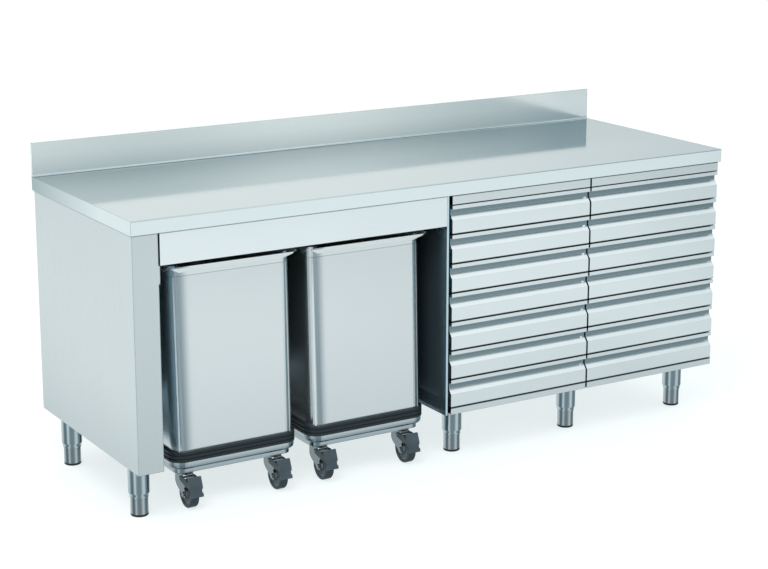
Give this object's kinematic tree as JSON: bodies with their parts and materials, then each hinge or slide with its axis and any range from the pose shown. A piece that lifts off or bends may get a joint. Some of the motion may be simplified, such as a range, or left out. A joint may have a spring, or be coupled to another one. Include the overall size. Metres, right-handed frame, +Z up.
{
  "type": "drawer cabinet",
  "caption": "Stainless steel work counter with an upstand, a bay holding roll-out bins with bumpers on castors, and columns of shallow drawers on round legs",
  "frame": {"origin": "on the floor below the middle of the counter's box", "axes": "+X to the counter's right as seen from the drawers, +Y from the drawers to the wall side, +Z up"},
  "size_m": [2, 0.7, 0.95],
  "materials": {
    "worktop_steel": "satin, grain along the length",
    "panel_steel": "satin, grain upright",
    "liner_steel": "bright satin",
    "carcass_steel": "satin",
    "drawer_steel": "satin, grain along the length",
    "box_steel": "dull satin",
    "runner_steel": "zinc plated",
    "bin_steel": "satin, grain upright",
    "base_steel": "satin",
    "leg_steel": "polished tube",
    "castor_steel": "zinc plated",
    "bumper_rubber": "ribbed, matt",
    "wheel_tyre": "dark grey tread",
    "brake_plastic": "dark grey"
  },
  "bodies": {
    "cabinet": {"worktop": "worktop_steel", "left_end_panel": "panel_steel", "header": "panel_steel", "bay_liner": "liner_steel", "drawer_carcass": "carcass_steel", "drawer_runners": "runner_steel", "leg_sleeves": "leg_steel", "leg_feet": "leg_steel"},
    "drawer_a1": {"drawer_front_a1": "drawer_steel", "drawer_box_a1": "box_steel"},
    "drawer_a2": {"drawer_front_a2": "drawer_steel", "drawer_box_a2": "box_steel"},
    "drawer_a3": {"drawer_front_a3": "drawer_steel", "drawer_box_a3": "box_steel"},
    "drawer_a4": {"drawer_front_a4": "drawer_steel", "drawer_box_a4": "box_steel"},
    "drawer_a5": {"drawer_front_a5": "drawer_steel", "drawer_box_a5": "box_steel"},
    "drawer_a6": {"drawer_front_a6": "drawer_steel", "drawer_box_a6": "box_steel"},
    "drawer_a7": {"drawer_front_a7": "drawer_steel", "drawer_box_a7": "box_steel"},
    "drawer_b1": {"drawer_front_b1": "drawer_steel", "drawer_box_b1": "box_steel"},
    "drawer_b2": {"drawer_front_b2": "drawer_steel", "drawer_box_b2": "box_steel"},
    "drawer_b3": {"drawer_front_b3": "drawer_steel", "drawer_box_b3": "box_steel"},
    "drawer_b4": {"drawer_front_b4": "drawer_steel", "drawer_box_b4": "box_steel"},
    "drawer_b5": {"drawer_front_b5": "drawer_steel", "drawer_box_b5": "box_steel"},
    "drawer_b6": {"drawer_front_b6": "drawer_steel", "drawer_box_b6": "box_steel"},
    "drawer_b7": {"drawer_front_b7": "drawer_steel", "drawer_box_b7": "box_steel"},
    "bin_1": {"bin_body_1": "bin_steel", "bin_bumper_1": "bumper_rubber", "bin_base_1": "base_steel", "rear_brackets_1": "castor_steel"},
    "fork_1_left": {"castor_fork_1_left": "castor_steel"},
    "brake_1_left": {"castor_brake_1_left": "brake_plastic"},
    "front_roller_1_left": {"front_wheel_1_left": "wheel_tyre"},
    "rear_roller_1_left": {"rear_wheel_1_left": "wheel_tyre"},
    "fork_1_right": {"castor_fork_1_right": "castor_steel"},
    "brake_1_right": {"castor_brake_1_right": "brake_plastic"},
    "front_roller_1_right": {"front_wheel_1_right": "wheel_tyre"},
    "rear_roller_1_right": {"rear_wheel_1_right": "wheel_tyre"},
    "bin_2": {"bin_body_2": "bin_steel", "bin_bumper_2": "bumper_rubber", "bin_base_2": "base_steel", "rear_brackets_2": "castor_steel"},
    "fork_2_left": {"castor_fork_2_left": "castor_steel"},
    "brake_2_left": {"castor_brake_2_left": "brake_plastic"},
    "front_roller_2_left": {"front_wheel_2_left": "wheel_tyre"},
    "rear_roller_2_left": {"rear_wheel_2_left": "wheel_tyre"},
    "fork_2_right": {"castor_fork_2_right": "castor_steel"},
    "brake_2_right": {"castor_brake_2_right": "brake_plastic"},
    "front_roller_2_right": {"front_wheel_2_right": "wheel_tyre"},
    "rear_roller_2_right": {"rear_wheel_2_right": "wheel_tyre"}
  },
  "joints": [
    {"name": "drawer_a1_slide", "type": "slide", "parent": "cabinet", "child": "drawer_a1", "axis": [0, -1, 0], "range_m": [0, 0.45]},
    {"name": "drawer_a2_slide", "type": "slide", "parent": "cabinet", "child": "drawer_a2", "axis": [0, -1, 0], "range_m": [0, 0.45]},
    {"name": "drawer_a3_slide", "type": "slide", "parent": "cabinet", "child": "drawer_a3", "axis": [0, -1, 0], "range_m": [0, 0.45]},
    {"name": "drawer_a4_slide", "type": "slide", "parent": "cabinet", "child": "drawer_a4", "axis": [0, -1, 0], "range_m": [0, 0.45]},
    {"name": "drawer_a5_slide", "type": "slide", "parent": "cabinet", "child": "drawer_a5", "axis": [0, -1, 0], "range_m": [0, 0.45]},
    {"name": "drawer_a6_slide", "type": "slide", "parent": "cabinet", "child": "drawer_a6", "axis": [0, -1, 0], "range_m": [0, 0.45]},
    {"name": "drawer_a7_slide", "type": "slide", "parent": "cabinet", "child": "drawer_a7", "axis": [0, -1, 0], "range_m": [0, 0.45]},
    {"name": "drawer_b1_slide", "type": "slide", "parent": "cabinet", "child": "drawer_b1", "axis": [0, -1, 0], "range_m": [0, 0.45]},
    {"name": "drawer_b2_slide", "type": "slide", "parent": "cabinet", "child": "drawer_b2", "axis": [0, -1, 0], "range_m": [0, 0.45]},
    {"name": "drawer_b3_slide", "type": "slide", "parent": "cabinet", "child": "drawer_b3", "axis": [0, -1, 0], "range_m": [0, 0.45]},
    {"name": "drawer_b4_slide", "type": "slide", "parent": "cabinet", "child": "drawer_b4", "axis": [0, -1, 0], "range_m": [0, 0.45]},
    {"name": "drawer_b5_slide", "type": "slide", "parent": "cabinet", "child": "drawer_b5", "axis": [0, -1, 0], "range_m": [0, 0.45]},
    {"name": "drawer_b6_slide", "type": "slide", "parent": "cabinet", "child": "drawer_b6", "axis": [0, -1, 0], "range_m": [0, 0.45]},
    {"name": "drawer_b7_slide", "type": "slide", "parent": "cabinet", "child": "drawer_b7", "axis": [0, -1, 0], "range_m": [0, 0.45]},
    {"name": "bin_1_roll_out", "type": "slide", "parent": "cabinet", "child": "bin_1", "axis": [0, -1, 0], "range_m": [0, 0.7]},
    {"name": "fork_1_left_swivel", "type": "hinge", "parent": "bin_1", "child": "fork_1_left", "pos_m": [-0.809, -0.231, 0.095], "axis": [0, 0, 1], "continuous": true},
    {"name": "brake_1_left_pedal", "type": "hinge", "parent": "fork_1_left", "child": "brake_1_left", "pos_m": [-0.809, -0.243, 0.0827], "axis": [1, 0, 0], "range_deg": [0, 8]},
    {"name": "front_wheel_1_left_spin", "type": "hinge", "parent": "fork_1_left", "child": "front_roller_1_left", "pos_m": [-0.809, -0.259, 0.04], "axis": [1, 0, 0], "continuous": true},
    {"name": "rear_wheel_1_left_spin", "type": "hinge", "parent": "bin_1", "child": "rear_roller_1_left", "pos_m": [-0.809, 0.229, 0.04], "axis": [1, 0, 0], "continuous": true},
    {"name": "fork_1_right_swivel", "type": "hinge", "parent": "bin_1", "child": "fork_1_right", "pos_m": [-0.531, -0.231, 0.095], "axis": [0, 0, 1], "continuous": true},
    {"name": "brake_1_right_pedal", "type": "hinge", "parent": "fork_1_right", "child": "brake_1_right", "pos_m": [-0.531, -0.243, 0.0827], "axis": [1, 0, 0], "range_deg": [0, 8]},
    {"name": "front_wheel_1_right_spin", "type": "hinge", "parent": "fork_1_right", "child": "front_roller_1_right", "pos_m": [-0.531, -0.259, 0.04], "axis": [1, 0, 0], "continuous": true},
    {"name": "rear_wheel_1_right_spin", "type": "hinge", "parent": "bin_1", "child": "rear_roller_1_right", "pos_m": [-0.531, 0.229, 0.04], "axis": [1, 0, 0], "continuous": true},
    {"name": "bin_2_roll_out", "type": "slide", "parent": "cabinet", "child": "bin_2", "axis": [0, -1, 0], "range_m": [0, 0.7]},
    {"name": "fork_2_left_swivel", "type": "hinge", "parent": "bin_2", "child": "fork_2_left", "pos_m": [-0.381, -0.231, 0.095], "axis": [0, 0, 1], "continuous": true},
    {"name": "brake_2_left_pedal", "type": "hinge", "parent": "fork_2_left", "child": "brake_2_left", "pos_m": [-0.381, -0.243, 0.0827], "axis": [1, 0, 0], "range_deg": [0, 8]},
    {"name": "front_wheel_2_left_spin", "type": "hinge", "parent": "fork_2_left", "child": "front_roller_2_left", "pos_m": [-0.381, -0.259, 0.04], "axis": [1, 0, 0], "continuous": true},
    {"name": "rear_wheel_2_left_spin", "type": "hinge", "parent": "bin_2", "child": "rear_roller_2_left", "pos_m": [-0.381, 0.229, 0.04], "axis": [1, 0, 0], "continuous": true},
    {"name": "fork_2_right_swivel", "type": "hinge", "parent": "bin_2", "child": "fork_2_right", "pos_m": [-0.103, -0.231, 0.095], "axis": [0, 0, 1], "continuous": true},
    {"name": "brake_2_right_pedal", "type": "hinge", "parent": "fork_2_right", "child": "brake_2_right", "pos_m": [-0.103, -0.243, 0.0827], "axis": [1, 0, 0], "range_deg": [0, 8]},
    {"name": "front_wheel_2_right_spin", "type": "hinge", "parent": "fork_2_right", "child": "front_roller_2_right", "pos_m": [-0.103, -0.259, 0.04], "axis": [1, 0, 0], "continuous": true},
    {"name": "rear_wheel_2_right_spin", "type": "hinge", "parent": "bin_2", "child": "rear_roller_2_right", "pos_m": [-0.103, 0.229, 0.04], "axis": [1, 0, 0], "continuous": true}
  ]
}
